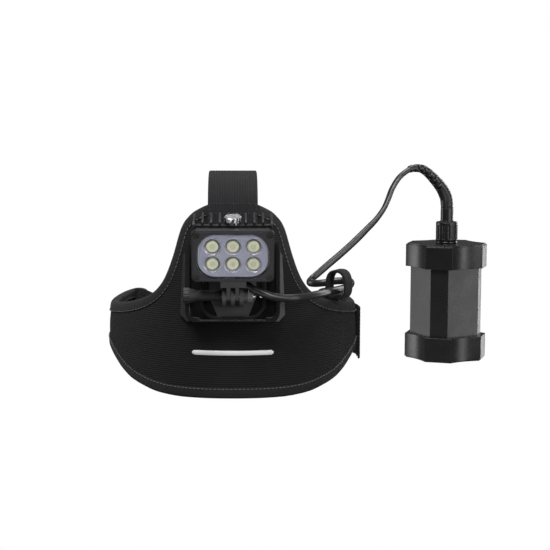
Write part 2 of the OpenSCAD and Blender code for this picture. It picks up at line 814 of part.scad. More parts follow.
// ---- lead ----
module lead_run(route, start, end) {
    color([0.05, 0.05, 0.06]) place()
        tube(route, [for (p = route) lead_d / 2], 10, start, end);
}
module lead_lamp() {
    lead_run(lead_lamp_route, unit([0.9, -0.06, -0.42]), [1, 0, 0]);
}
module lead_mid() {
    lead_run(lead_mid_route, [1, 0, 0], unit([0.66, 0.36, 0.6]));
}
module lead_pack() {
    lead_run(lead_pack_route, unit([0.66, 0.36, 0.6]), unit([0.87, 0.48, 0]));
}

pad_shell();
edge_binding();
crown_strap();
back_strap();
hook_tab();
lead_keeper();
base_plate();
mount_tray();
tray_rivets();
receiver();
buckle();
clamp_nut();
clamp_screw();
thumb_knob();
lamp_housing();
housing_seal();
front_bezel();
bezel_screws();
lens_cover();
lens_gasket();
optic_plate();
light_domes();
light_chips();
light_board();
driver_board();
mount_foot();
foot_screws();
lead_gland();
switch_body();
switch_dome();
switch_cap();
pack_shell();
top_cap();
bottom_cap();
cap_seals();
cells();
cell_holders();
cell_links();
protection_board();
pack_socket();
socket_seal();
lock_ring();
plug_body();
contact_pins();
strain_relief();
lead_lamp();
lead_mid();
lead_pack();
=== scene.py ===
import json
import math

import bmesh
import bpy
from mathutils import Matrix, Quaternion, Vector, noise


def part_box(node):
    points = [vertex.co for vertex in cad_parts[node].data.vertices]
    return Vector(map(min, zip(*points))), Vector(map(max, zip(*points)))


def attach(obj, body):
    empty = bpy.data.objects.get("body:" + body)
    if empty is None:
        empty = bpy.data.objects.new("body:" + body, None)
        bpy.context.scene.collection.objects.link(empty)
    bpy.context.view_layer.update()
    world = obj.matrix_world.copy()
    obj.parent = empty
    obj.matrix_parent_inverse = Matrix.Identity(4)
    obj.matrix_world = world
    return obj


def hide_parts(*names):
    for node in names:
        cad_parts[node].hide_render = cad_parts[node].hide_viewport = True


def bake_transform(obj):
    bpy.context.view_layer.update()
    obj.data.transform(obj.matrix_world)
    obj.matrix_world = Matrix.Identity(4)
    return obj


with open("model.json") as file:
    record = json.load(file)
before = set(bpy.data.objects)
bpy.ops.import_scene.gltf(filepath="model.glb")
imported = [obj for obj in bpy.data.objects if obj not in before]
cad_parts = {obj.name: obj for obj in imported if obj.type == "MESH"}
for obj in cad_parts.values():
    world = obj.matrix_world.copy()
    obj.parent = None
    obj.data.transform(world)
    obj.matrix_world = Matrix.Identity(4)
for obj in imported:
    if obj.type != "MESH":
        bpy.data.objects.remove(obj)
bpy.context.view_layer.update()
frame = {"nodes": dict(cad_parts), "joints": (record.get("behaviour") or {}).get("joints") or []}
cadNodes = frame["nodes"]

# Pieces are worked out in millimetres from the middle of the head, then placed in metres.
head = {"radius": 100, "growRadius": 225, "bandTop": 35}
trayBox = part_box("mount_tray")
headX = (trayBox[0][0] + trayBox[1][0]) / 2
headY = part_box("pad_shell")[0][1] + head["radius"] / 1000
lampLean = 13  # degrees that the lamp head leans forward at rest


def place(x, y, z):
    return Vector((headX + x / 1000, headY + y / 1000, z / 1000))


# Camera and light

shot = {"spot": (0, -1210, 227.8), "down": 6.87, "lens": 98.18, "shift": 0.0767}


def addCamera():
    lens = bpy.data.cameras.new("shotCamera")
    lens.lens = shot["lens"]
    lens.sensor_width = 36
    lens.shift_x = shot["shift"]
    lens.clip_start = 0.05
    camera = bpy.data.objects.new("shotCamera", lens)
    camera.location = place(*shot["spot"])
    camera.rotation_euler = (math.radians(90 - shot["down"]), 0, 0)
    bpy.context.collection.objects.link(camera)
    bpy.context.scene.camera = camera


def addSoftbox(name, spot, aim, width, height, power):
    light = bpy.data.lights.new(name, "AREA")
    light.shape = "RECTANGLE"
    light.size = width
    light.size_y = height
    light.energy = power
    box = bpy.data.objects.new(name, light)
    box.location = spot
    box.rotation_euler = (Vector(aim) - Vector(spot)).to_track_quat("-Z", "Y").to_euler()
    bpy.context.collection.objects.link(box)


studio = {
    "ground": 1.0,
    "fill": 0.09,
    "boxes": [
        # name, spot, aim, width, height, power
        ("frontTopBox", (-0.5, -1.3, 1.9), (0, 0, 0.05), 1.5, 1.0, 58),
        ("topBox", (0.2, 0.5, 2.0), (0, 0, 0.05), 1.8, 1.2, 38),
        ("leftBackBox", (-1.5, 0.6, 0.1), (0, 0, 0.05), 0.7, 1.4, 9),
        ("rightBox", (1.5, -0.55, 0.1), (0.1, 0, 0.05), 0.25, 1.5, 5),
        ("rightBackBox", (1.2, 1.2, 0.2), (0.1, 0, 0.05), 0.5, 1.4, 12),
        ("frontRightBox", (1.1, -1.2, 0.5), (0, 0, 0.05), 0.5, 1.0, 10),
        ("underBox", (0, -1.2, -0.68), (0, 0, 0.05), 1.6, 0.5, 3.2),
    ],
}


def addStudio():
    # plain white to camera rays and only a soft fill to all others: the boxes give the light
    sky = bpy.data.worlds.new("studioSky")
    sky.use_nodes = True
    tree = sky.node_tree
    fill = tree.nodes["Background"]
    fill.inputs["Color"].default_value = (1, 1, 1, 1)
    fill.inputs["Strength"].default_value = studio["fill"]
    ground = tree.nodes.new("ShaderNodeBackground")
    ground.inputs["Color"].default_value = (1, 1, 1, 1)
    ground.inputs["Strength"].default_value = studio["ground"]
    rays = tree.nodes.new("ShaderNodeLightPath")
    both = tree.nodes.new("ShaderNodeMixShader")
    tree.links.new(rays.outputs["Is Camera Ray"], both.inputs[0])
    tree.links.new(fill.outputs[0], both.inputs[1])
    tree.links.new(ground.outputs[0], both.inputs[2])
    tree.links.new(both.outputs[0], tree.nodes["World Output"].inputs["Surface"])
    bpy.context.scene.world = sky
    bpy.context.scene.view_settings.view_transform = "Standard"
    for box in studio["boxes"]:
        addSoftbox(*box)


# Finishes


def startFinish(name):
    finish = bpy.data.materials.new(name)
    finish.use_nodes = True
    tree = finish.node_tree
    return finish, tree, tree.nodes["Principled BSDF"]


def addNode(tree, kind, settings=None, inputs=None):
    node = tree.nodes.new(kind)
    for key, value in (settings or {}).items():
        setattr(node, key, value)
    for key, value in (inputs or {}).items():
        if hasattr(value, "is_output"):
            tree.links.new(value, node.inputs[key])
        else:
            node.inputs[key].default_value = value
    return node


def speckle(tree, scale, detail=4):
    coords = addNode(tree, "ShaderNodeTexCoord").outputs["Object"]
    return addNode(
        tree, "ShaderNodeTexNoise", None, {"Vector": coords, "Scale": scale, "Detail": detail}
    ).outputs["Fac"]


def remap(tree, value, fromLow, fromHigh, low, high):
    return addNode(
        tree, "ShaderNodeMapRange", None,
        {"Value": value, "From Min": fromLow, "From Max": fromHigh, "To Min": low, "To Max": high},
    ).outputs["Result"]


def between(tree, amount, low, high):
    # low to high over the range that speckle mostly stays in
    return remap(tree, amount, 0.3, 0.7, low, high)


def shade(colour, factor):
    return (colour[0] * factor, colour[1] * factor, colour[2] * factor, 1)


def mixColours(tree, amount, low, high):
    mix = addNode(tree, "ShaderNodeMix", {"data_type": "RGBA"})
    for socket, value in ((0, amount), (6, low), (7, high)):
        if hasattr(value, "is_output"):
            tree.links.new(value, mix.inputs[socket])
        else:
            mix.inputs[socket].default_value = value
    return mix.outputs[2]


def solidFinish(name, colour, rough, metal=0.0, grain=900, depth=0.00004, vary=0.12, coat=0.0, edge=0.0):
    # moulded, cast or turned surface: slight mottling, uneven gloss, fine grain and softened edges
    finish, tree, surface = startFinish(name)
    wide = speckle(tree, 60)
    fine = speckle(tree, grain, 6)
    tree.links.new(
        mixColours(tree, wide, shade(colour, 1 - vary), shade(colour, 1 + vary)), surface.inputs["Base Color"]
    )
    tree.links.new(between(tree, wide, rough * 0.88, rough * 1.14), surface.inputs["Roughness"])
    surface.inputs["Metallic"].default_value = metal
    surface.inputs["Coat Weight"].default_value = coat
    surface.inputs["Coat Roughness"].default_value = 0.2
    bump = addNode(tree, "ShaderNodeBump", None, {"Height": fine, "Distance": depth, "Strength": 0.6})
    if edge:
        soft = addNode(tree, "ShaderNodeBevel", {"samples": 4}, {"Radius": edge})
        tree.links.new(soft.outputs["Normal"], bump.inputs["Normal"])
    tree.links.new(bump.outputs["Normal"], surface.inputs["Normal"])
    return finish


def wave(tree, along, pitch):
    # sine of a distance in metres, one full wave for each pitch
    turns = addNode(tree, "ShaderNodeMath", {"operation": "MULTIPLY"}, {0: along, 1: 2 * math.pi / pitch})
    return addNode(tree, "ShaderNodeMath", {"operation": "SINE"}, {0: turns.outputs[0]}).outputs[0]


def combine(tree, how, a, b):
    return addNode(tree, "ShaderNodeMath", {"operation": how}, {0: a, 1: b}).outputs[0]


def fabricFinish(name, dark, light, pitchU, pitchV, depth, sheen, rough=0.85, ribs=0.0):
    # knit or webbing from the piece's own laid-out map in metres; ribs run along v, rows across it
    finish, tree, surface = startFinish(name)
    cloth = addNode(tree, "ShaderNodeUVMap", {"uv_map": "cloth"})
    parts = addNode(tree, "ShaderNodeSeparateXYZ", None, {"Vector": cloth.outputs["UV"]})
    rows = wave(tree, parts.outputs["Y"], pitchV)
    columns = wave(tree, parts.outputs["X"], pitchU)
    knots = combine(tree, "MULTIPLY", rows, columns)
    body = combine(
        tree, "ADD", combine(tree, "MULTIPLY", rows, 0.6 * (1 - ribs)),
        combine(tree, "ADD", combine(tree, "MULTIPLY", knots, 0.4), combine(tree, "MULTIPLY", columns, ribs)),
    )
    lint = speckle(tree, 2400, 5)
    worn = speckle(tree, 35, 3)
    height = combine(tree, "ADD", body, combine(tree, "MULTIPLY", lint, 0.9))
    tone = remap(tree, combine(tree, "ADD", height, combine(tree, "MULTIPLY", worn, 0.8)), -0.5, 2.2, 0, 1)
    tree.links.new(mixColours(tree, tone, (*dark, 1), (*light, 1)), surface.inputs["Base Color"])
    tree.links.new(between(tree, lint, rough * 0.9, min(1, rough * 1.12)), surface.inputs["Roughness"])
    surface.inputs["Sheen Weight"].default_value = sheen
    surface.inputs["Sheen Roughness"].default_value = 0.5
    surface.inputs["Specular IOR Level"].default_value = 0.08
    bump = addNode(tree, "ShaderNodeBump", None, {"Height": height, "Distance": depth, "Strength": 0.9})
    tree.links.new(bump.outputs["Normal"], surface.inputs["Normal"])
    return finish


def opticFinish():
    # satin lavender face; the cups' walls are brighter and glossier
    finish, tree, surface = startFinish("optic")
    facing = addNode(tree, "ShaderNodeTexCoord").outputs["Normal"]
    lean = math.radians(lampLean)
    straight = addNode(
        tree, "ShaderNodeVectorMath", {"operation": "DOT_PRODUCT"},
        {0: facing, 1: (0, -math.cos(lean), -math.sin(lean))},
    ).outputs["Value"]
    face = remap(tree, straight, 0.9, 0.97, 0, 1)
    worn = combine(tree, "ADD", face, combine(tree, "MULTIPLY", speckle(tree, 90), 0.1))
    tree.links.new(
        mixColours(tree, face, (0.66, 0.66, 0.73, 1), (0.44, 0.455, 0.51, 1)), surface.inputs["Base Color"]
    )
    tree.links.new(remap(tree, face, 0, 1, 0.1, 0.15), surface.inputs["Metallic"])
    tree.links.new(remap(tree, worn, 0, 1, 0.2, 0.42), surface.inputs["Roughness"])
    return finish


def clearFinish():
    finish, tree, surface = startFinish("clearLens")
    surface.inputs["Base Color"].default_value = (0.93, 0.93, 0.99, 1)
    surface.inputs["Transmission Weight"].default_value = 1
    surface.inputs["IOR"].default_value = 1.2
    tree.links.new(between(tree, speckle(tree, 40), 0.02, 0.06), surface.inputs["Roughness"])
    return finish


# painted reflections on the switch cap: spacing, slant and waviness of its dark and bright diagonal stripes
paintedStreaks = {"pitch": 0.0042, "slant": 1.6, "warp": 0.002}


def buttonFinish():
    # polished steel with diagonal stripes painted into its colour: dark and bright bands are painted
    # reflections of the dome
    finish, tree, surface = startFinish("buttonSteel")
    spot = addNode(tree, "ShaderNodeTexCoord").outputs["Object"]
    parts = addNode(tree, "ShaderNodeSeparateXYZ", None, {"Vector": spot})
    rise = combine(tree, "MULTIPLY", parts.outputs["Y"], paintedStreaks["slant"])
    slant = combine(tree, "ADD", parts.outputs["X"], rise)
    warp = combine(tree, "ADD", slant, combine(tree, "MULTIPLY", speckle(tree, 120), paintedStreaks["warp"]))
    # painted reflection: the stripes mix the colour from near black to near white
    tone = remap(tree, wave(tree, warp, paintedStreaks["pitch"]), -0.1, 0.2, 0, 1)
    tree.links.new(
        mixColours(tree, tone, (0.06, 0.06, 0.065, 1), (0.92, 0.92, 0.93, 1)), surface.inputs["Base Color"]
    )
    tree.links.new(between(tree, speckle(tree, 300), 0.24, 0.34), surface.inputs["Roughness"])
    surface.inputs["Metallic"].default_value = 0.75
    return finish


finishes = {
    "padKnit": fabricFinish(
        "padKnit", (0.004, 0.004, 0.0045), (0.022, 0.022, 0.0235),
        pitchU=0.0011, pitchV=0.0016, depth=0.0004, sheen=0.03,
    ),
    "tapeTwill": fabricFinish(
        "tapeTwill", (0.007, 0.007, 0.0075), (0.027, 0.027, 0.0285),
        pitchU=0.0009, pitchV=0.0009, depth=0.0002, sheen=0.04, rough=0.7,
    ),
    "elastic": fabricFinish(
        "elastic", (0.006, 0.006, 0.0065), (0.026, 0.026, 0.028),
        pitchU=0.00127, pitchV=0.0009, depth=0.0003, sheen=0.03, rough=0.8, ribs=0.9,
    ),
    "thread": solidFinish("thread", (0.13, 0.13, 0.135), 0.6, grain=3000),
    "darkThread": solidFinish("darkThread", (0.03, 0.03, 0.032), 0.7, grain=3000),
    "darkPlate": solidFinish("darkPlate", (0.007, 0.007, 0.007), 0.5, grain=2000, depth=0.00003, edge=0.0009),
    "knobBlack": solidFinish("knobBlack", (0.012, 0.012, 0.012), 0.6, grain=1600, depth=0.00003, edge=0.0006),
    "trayGloss": solidFinish("trayGloss", (0.008, 0.008, 0.009), 0.2, grain=1400, depth=0.00002, edge=0.0009),
    "reflective": solidFinish("reflective", (0.72, 0.73, 0.74), 0.45, grain=2500, depth=0.00003),
    "moulded": solidFinish("moulded", (0.008, 0.008, 0.009), 0.28, grain=1400, depth=0.00002, edge=0.0004),
    "mouldedGrey": solidFinish(
        "mouldedGrey", (0.06, 0.06, 0.064), 0.45, grain=1400, depth=0.00002, edge=0.0004
    ),
    "anodised": solidFinish(
        "anodised", (0.02, 0.02, 0.022), 0.34, metal=0.4, grain=1800, depth=0.00002, edge=0.0004
    ),
    "steel": solidFinish("steel", (0.78, 0.78, 0.8), 0.22, metal=1, grain=700, depth=0.00001, edge=0.0003),
    "blackSteel": solidFinish("blackSteel", (0.03, 0.03, 0.03), 0.35, metal=0.7, grain=900, edge=0.0003),
    "rubber": solidFinish("rubber", (0.007, 0.007, 0.0075), 0.27, grain=800, depth=0.00003, edge=0.0006),
    "sealRubber": solidFinish("sealRubber", (0.008, 0.008, 0.008), 0.2, grain=600, coat=0.3),
    "jacket": solidFinish("jacket", (0.014, 0.014, 0.015), 0.3, grain=1600, depth=0.00002),
    "optic": opticFinish(),
    "lightResin": solidFinish("lightResin", (0.96, 0.98, 0.6), 0.25, grain=500, vary=0.05),
    "phosphor": solidFinish("phosphor", (0.62, 0.64, 0.3), 0.5, grain=1500),
    "boardWhite": solidFinish("boardWhite", (0.8, 0.8, 0.78), 0.5),
    "boardGreen": solidFinish("boardGreen", (0.02, 0.14, 0.06), 0.4, coat=0.3),
    "cellWrap": solidFinish("cellWrap", (0.03, 0.12, 0.3), 0.35),
    "nickel": solidFinish("nickel", (0.75, 0.74, 0.7), 0.3, metal=1),
    "gold": solidFinish("gold", (0.9, 0.66, 0.28), 0.22, metal=1),
    "clear": clearFinish(),
    "button": buttonFinish(),
}
print("finishes made:", len(finishes))


# Mesh tools


def makePiece(name, points, faces, finish):
    mesh = bpy.data.meshes.new(name)
    mesh.from_pydata([tuple(p) for p in points], [], faces)
    work = bmesh.new()
    work.from_mesh(mesh)
    bmesh.ops.recalc_face_normals(work, faces=work.faces)
    work.to_mesh(mesh)
    work.free()
    mesh.materials.append(finish)
    for face in mesh.polygons:
        face.use_smooth = len(face.vertices) < 5  # end faces stay flat
    piece = bpy.data.objects.new(name, mesh)
    bpy.context.collection.objects.link(piece)
    return piece


def ringFaces(count, size, closed=False, start=0):
    # quads between neighbouring rings; closed joins the last ring to the first, and else each end has a face
    faces = []
    for i in range(count if closed else count - 1):
        here, there = start + i * size, start + (i + 1) % count * size
        for k in range(size):
            m = (k + 1) % size
            faces.append([here + k, here + m, there + m, there + k])
    if not closed:
        faces.append([start + k for k in reversed(range(size))])
        faces.append([start + (count - 1) * size + k for k in range(size)])
    return faces


def ringMesh(name, rings, finish, closed=False):
    points = [p for ring in rings for p in ring]
    return makePiece(name, points, ringFaces(len(rings), len(rings[0]), closed), finish)


def layOut(piece, uvOf):
    # map in metres, from each point's place
    layer = piece.data.uv_layers.new(name="cloth")
    places = [uvOf(v.co) for v in piece.data.vertices]
    for corner in piece.data.loops:
        layer.data[corner.index].uv = places[corner.vertex_index]


def layAlong(piece, section, along):
    # the same for a strap, from the place across its section and the length so far, one for each ring
    layer = piece.data.uv_layers.new(name="cloth")
    for corner in piece.data.loops:
        ring, k = divmod(corner.vertex_index, len(section))
        layer.data[corner.index].uv = (section[k][0] / 1000, along[ring])


def unrolled(p):
    turn = math.atan2(p.x - headX, -(p.y - headY))
    return (head["radius"] / 1000 * turn, p.z)


def smoothRoute(points, steps):
    # curve through every point, with steps stretches between neighbours
    route = [Vector(p) for p in points]
    ends = [2 * route[0] - route[1]] + route + [2 * route[-1] - route[-2]]
    out = []
    for i in range(1, len(ends) - 2):
        a, b, c, d = ends[i - 1:i + 3]
        for k in range(steps):
            t = k / steps
            out.append(0.5 * (
                2 * b + (c - a) * t + (2 * a - 5 * b + 4 * c - d) * t * t + (3 * b - a - 3 * c + d) * t ** 3
            ))
    out.append(route[-1])
    return out


def lengthsAlong(points):
    # length from the first point to each one
    done = [0]
    for a, b in zip(points, points[1:]):
        done.append(done[-1] + (b - a).length)
    return done


def routeLength(points):
    return lengthsAlong(points)[-1]


def tubeRings(route, radiusAt, sides):
    # rings across the route, kept from twisting; radiusAt(share of the length, turn) is in metres
    rings = []
    turns = [2 * math.pi * k / sides for k in range(sides)]
    side = Vector((0, 0, 1))
    total = routeLength(route)
    for i, (p, done) in enumerate(zip(route, lengthsAlong(route))):
        ahead = route[min(i + 1, len(route) - 1)] - route[max(i - 1, 0)]
        ahead.normalize()
        side = (side - ahead * side.dot(ahead)).normalized()
        other = ahead.cross(side)
        rings.append([
            p + radiusAt(done / total, a) * (side * math.cos(a) + other * math.sin(a)) for a in turns
        ])
    return rings


def curveAt(points, x):
    # smooth height through the points, read at x
    i = 0
    while i < len(points) - 2 and x >= points[i + 1][0]:
        i += 1

    def slope(k):
        if k == 0 or k == len(points) - 1:
            return 0
        return (points[k + 1][1] - points[k - 1][1]) / (points[k + 1][0] - points[k - 1][0])

    w = points[i + 1][0] - points[i][0]
    t = (x - points[i][0]) / w
    m, n = slope(i) * w, slope(i + 1) * w
    return (
        (2 * t ** 3 - 3 * t * t + 1) * points[i][1] + (t ** 3 - 2 * t * t + t) * m
        + (3 * t * t - 2 * t ** 3) * points[i + 1][1] + (t ** 3 - t * t) * n
    )


addCamera()
addStudio()

# Lead

lead = {
    "thick": 5,
    "tall": 5.9,
    "flat": 4.5,
    "lampRoute": [
        (12, -124.9, 88.3), (15, -125.3, 86.6), (22, -124.6, 83.6), (29, -122.4, 81),
        (36, -119.2, 79.4), (42.2, -115.9, 78.8),
    ],
    "middleRoute": [
        (42.2, -115.9, 78.8), (49.7, -110, 78.6), (60.1, -98, 78.6), (68.5, -84, 78.4), (77, -66, 77.8),
        (84.4, -52, 77.4), (89.7, -40, 77.4), (94, -28, 77.8), (94.9, -16, 78.2), (90.7, -6, 78),
        (82.7, -3, 77.4), (73.7, -3, 76), (66.3, 0.5, 75), (62.5, 8, 75), (64.8, 16, 76.8),
        (71.4, 21, 81.6), (79.5, 25.4, 88), (91.7, 31, 97.6), (103.9, 37, 108),
    ],
    "packRoute": [
        (103.9, 37, 108), (112, 41, 115.6), (120.1, 44.8, 123.4), (126.8, 49, 132), (130.8, 52, 140),
        (134.8, 55, 149.4), (141.3, 59, 158.6), (149.9, 63.8, 164.5),
    ],
    "reliefRoute": [
        (149.9, 63.8, 164.5), (154.7, 66.3, 165.4), (160.1, 69.2, 165), (164.8, 71.8, 162.6),
        (169.3, 74.4, 158.9), (173.8, 77, 154.4), (178.1, 79.6, 149.6), (181.7, 81.8, 144.4),
        (184.2, 83.3, 138.6), (185.2, 84, 131.2),
    ],
    "keeperSide": (76, -68, 77.8),
    "steps": 8,
    "sides": 24,
    "twistPace": 1.6,
    "endRing": 0.05,
}


def leadStretches():
    # one smooth run over all the points, cut where the stretches meet
    names = ["lampRoute", "middleRoute", "packRoute", "reliefRoute"]
    whole = list(lead[names[0]])
    cuts = [len(whole) - 1]
    for name in names[1:]:
        whole += lead[name][1:]
        cuts.append(len(whole) - 1)
    run = smoothRoute([place(*p) for p in whole], lead["steps"])
    stretches, start = [], 0
    for cut in cuts:
        stretches.append(run[start:cut * lead["steps"] + 1])
        start = cut * lead["steps"]
    return run, stretches


wholeRun, (lampRun, middleRun, packRun, reliefRun) = leadStretches()


def leadRings(run, twist):
    # oval section, tall side upright, turned by twist degrees towards the end of the run;
    # directions come from the whole lead, so neighbouring stretches meet without a seam
    rings = []
    first = wholeRun.index(run[0])
    turns = [2 * math.pi * k / lead["sides"] for k in range(lead["sides"])]
    total = routeLength(run)
    for i, (p, done) in enumerate(zip(run, lengthsAlong(run))):
        ahead = (wholeRun[first + i + 1] - wholeRun[max(first + i - 1, 0)]).normalized()
        side = (Vector((0, 0, 1)) - ahead * ahead.z).normalized()
        side.rotate(Quaternion(ahead, math.radians(twist) * min(1, lead["twistPace"] * done / total)))
        other = ahead.cross(side)
        rings.append([
            p + side * lead["tall"] / 2000 * math.cos(a) + other * lead["flat"] / 2000 * math.sin(a)
            for a in turns
        ])
    return closeEnds(rings)


def closeEnds(rings):
    # one more ring just inside each end, so the shading of the end faces doesn't reach along the lead
    def inward(end, beside):
        share = lead["endRing"] / 1000 / (end[0] - beside[0]).length
        return [a.lerp(b, share) for a, b in zip(end, beside)]

    return [rings[0], inward(rings[0], rings[1]), *rings[1:-1], inward(rings[-1], rings[-2]), rings[-1]]


def addLead(name, run, node, twist=0):
    piece = ringMesh(name, leadRings(run, twist), finishes["jacket"])
    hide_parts(node)
    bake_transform(piece)


relief = {
    "thin": 3.0,
    "thick": 5.4,
    "swell": 1.25,
    "slotsFrom": 0.04,
    "slotsTo": 0.66,
    "rows": 11,
    "slotDeep": 2.4,
    "stepFrom": 0.985,
    "stepIn": 0.35,
    "sides": 56,
    "steps": 4,
}


def clipped(value):
    return max(0, min(1, value))


def reliefRadius(share, turn):
    # rows of slots, each a quarter turn on from the last, then a plain elbow down to the plug
    radius = relief["thin"] + (relief["thick"] - relief["thin"]) * min(1, share * relief["swell"])
    if relief["slotsFrom"] < share < relief["slotsTo"]:
        at = (share - relief["slotsFrom"]) / (relief["slotsTo"] - relief["slotsFrom"]) * relief["rows"]
        row, inside = int(at), at - int(at)
        across = math.sin(math.pi * inside)
        around = math.cos(2 * turn + row * math.pi + 0.6)
        radius -= relief["slotDeep"] * clipped((across - 0.6) * 5) * clipped((around + 0.1) * 4)
    elif share > relief["stepFrom"]:
        radius -= relief["stepIn"]
    return radius / 1000


def addRelief():
    fine = smoothRoute(reliefRun, relief["steps"])
    piece = ringMesh("leadRelief", tubeRings(fine, reliefRadius, relief["sides"]), finishes["jacket"])
    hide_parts("strain_relief")
    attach(piece, "plug")
    return piece


leadRelief = addRelief()
addLead("leadFromLamp", lampRun, "lead_lamp")
addLead(
    "leadMiddle", middleRun, "lead_mid",
)
addLead(
    "leadToPack", packRun, "lead_pack",
    twist=80,
)
print("lead laid:", round(routeLength(lampRun) + routeLength(middleRun) + routeLength(packRun), 3), "m")

# Pad

pad = {
    "thick": 6.2,
    "edgeThick": 3.4,
    "end": 131,
    "top": [
        (0, 145.5), (12, 145.5), (21, 141), (26, 135.5), (29.5, 126), (31, 108), (33.5, 92),
        (37, 82), (42, 75.5), (50, 70.5), (62, 66.5), (90, 62), (122, 65), (128, 63), (131, 58),
    ],
    "low": [
        (0, 0), (22, 0), (30, 0.8), (37, 2.2), (43, 4.5), (52, 8.5), (60, 14), (68, 20), (78, 25),
        (95, 27.5), (122, 30), (128, 32), (131, 37),
    ],
    "rows": 30,
    "rimInset": 2.6,
    "rimSoft": 4,
    "endSoft": 0.8,
    "middle": 3.0,
    "step": 1.5,
    "fineStep": 0.5,
    "steep": (22, 44),
    "endFrom": 124,
}


def headRadius(z):
    return head["radius"] - max(0, z - head["bandTop"]) ** 2 / (2 * head["growRadius"])


def onHead(arc, z, depth):
    # a point of the unrolled pad, depth inwards from its outer face
    turn = arc / head["radius"]
    r = headRadius(z) - depth
    return place(r * math.sin(turn), -r * math.cos(turn), z)


def padTurns():
    # closer steps where the outline is steep
    turns, at = [], 0.0
    while at < pad["end"] - 0.01:
        turns.append(at)
        steep = pad["steep"][0] < at < pad["steep"][1] or at > pad["endFrom"]
        at += pad["fineStep"] if steep else pad["step"]
    turns.append(pad["end"])
    return [-t for t in reversed(turns[1:])] + turns


def padEdge():
    # lower edge from left to right, then the upper edge back
    turns = padTurns()
    low = [Vector((math.radians(t) * head["radius"], curveAt(pad["low"], abs(t)))) for t in turns]
    top = [Vector((math.radians(t) * head["radius"], curveAt(pad["top"], abs(t)))) for t in turns]
    return low + top[::-1]


def insetLoop(loop, inset):
    # the loop moved inwards, and smoothed the more the further it moves
    n = len(loop)
    out = []
    for k in range(n):
        ahead = (loop[(k + 1) % n] - loop[k - 1]).normalized()
        out.append(loop[k] + inset * Vector((-ahead.y, ahead.x)))
    for _ in range(int(abs(inset) * 2)):
        out = [(out[k - 1] + 2 * out[k] + out[(k + 1) % n]) / 4 for k in range(n)]
    return out


def evenLoop(loop, step):
    # the same loop with points a step apart
    closed = loop + [loop[0]]
    total = sum((b - a).length for a, b in zip(closed, closed[1:]))
    count = int(total / step)
    out, i, done = [], 0, 0.0
    for k in range(count):
        want = total * k / count
        while done + (closed[i + 1] - closed[i]).length < want:
            done += (closed[i + 1] - closed[i]).length
            i += 1
        out.append(closed[i].lerp(closed[i + 1], (want - done) / (closed[i + 1] - closed[i]).length))
    return out


def addPad():
    edge = insetLoop(padEdge(), pad["rimInset"])
    half = len(edge) // 2
    rings = []
    for k in range(half):
        low, top = edge[k], edge[2 * half - 1 - k]
        tall = (top - low).length
        end = min(k, half - 1 - k) * pad["endSoft"]
        outer, inner = [], []
        for j in range(pad["rows"] + 1):
            t = 0.5 - 0.5 * math.cos(math.pi * j / pad["rows"])
            p = low.lerp(top, t)
            rim = min(t * tall, (1 - t) * tall, end)
            soft = 1 - math.exp(-max(rim, 0) / pad["rimSoft"])
            thick = pad["edgeThick"] + (pad["thick"] - pad["edgeThick"]) * soft
            outer.append(onHead(p.x, p.y, pad["middle"] - thick / 2))
            inner.append(onHead(p.x, p.y, pad["middle"] + thick / 2))
        rings.append(outer + inner[::-1])
    piece = ringMesh("foreheadPad", rings, finishes["padKnit"])
    layOut(piece, unrolled)
    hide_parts("pad_shell")
    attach(piece, "harness")


# Edge tape: folded over the pad's rim, each pair is the distance in from the rim and the depth in the pad

tape = {
    "section": [
        (8.3, 0.15), (8.2, -0.3), (6.8, -0.6), (4.2, -0.6), (1.9, -0.45), (0.7, 0.05), (0.15, 0.9), (0, 2.2),
        (0, 3.8), (0.15, 5.1), (0.7, 5.95), (1.8, 6.4), (3.6, 6.55), (5.4, 6.55), (6.6, 6.3), (6.7, 5.8),
        (5.2, 5.0), (5.2, 1.0),
    ],
    "step": 1.4,
    "ripple": 0.1,
    "rippleSize": 6,
    "crease": 0.75,
    "creaseSize": (2.2, 9),
    "creaseAt": (46, 14),
    "creaseBelow": 20,
    "seams": [(7.5, -0.6), (5.6, 6.75)],
}


def addTape():
    loop = evenLoop(padEdge(), tape["step"])
    rows = []
    for inset, depth in tape["section"]:
        line = insetLoop(loop, inset)
        row = []
        for p in line:
            wrinkle = tape["ripple"] * noise.noise(Vector((p.x, p.y, 0)) / tape["rippleSize"])
            if p.y < tape["creaseBelow"]:
                # bunched where the lower edge turns up at the wearer's left
                nearCrease = math.exp(-(((p.x - tape["creaseAt"][0]) / tape["creaseAt"][1]) ** 2))
                spot = Vector((p.x / tape["creaseSize"][0], p.y / tape["creaseSize"][1], 4))
                wrinkle += tape["crease"] * nearCrease * noise.noise(spot)
            row.append(onHead(p.x, p.y, depth - wrinkle * (1 if depth < pad["middle"] else -1)))
        rows.append(row)
    rings = [[row[i] for row in rows] for i in range(len(loop))]
    piece = ringMesh("edgeTape", rings, finishes["tapeTwill"], closed=True)
    layOut(piece, unrolled)
    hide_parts("edge_binding")
    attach(piece, "harness")
    return loop


# Sewing: short raised threads

sewing = {"long": 2.4, "gap": 0.7, "thread": 0.24, "fine": 0.35, "rings": 5, "sides": 6}


def stitchRow(points, faces, route):
    # route is a list of (place, outward) pairs close together
    walked, start = 0.0, 0
    for i in range(1, len(route)):
        walked += (route[i][0] - route[i - 1][0]).length * 1000
        if walked >= sewing["long"]:
            addStitch(points, faces, route[start:i + 1])
            skipped = 0.0
            while i < len(route) - 1 and skipped < sewing["gap"]:
                skipped += (route[i + 1][0] - route[i][0]).length * 1000
                i += 1
            walked, start = -skipped, i


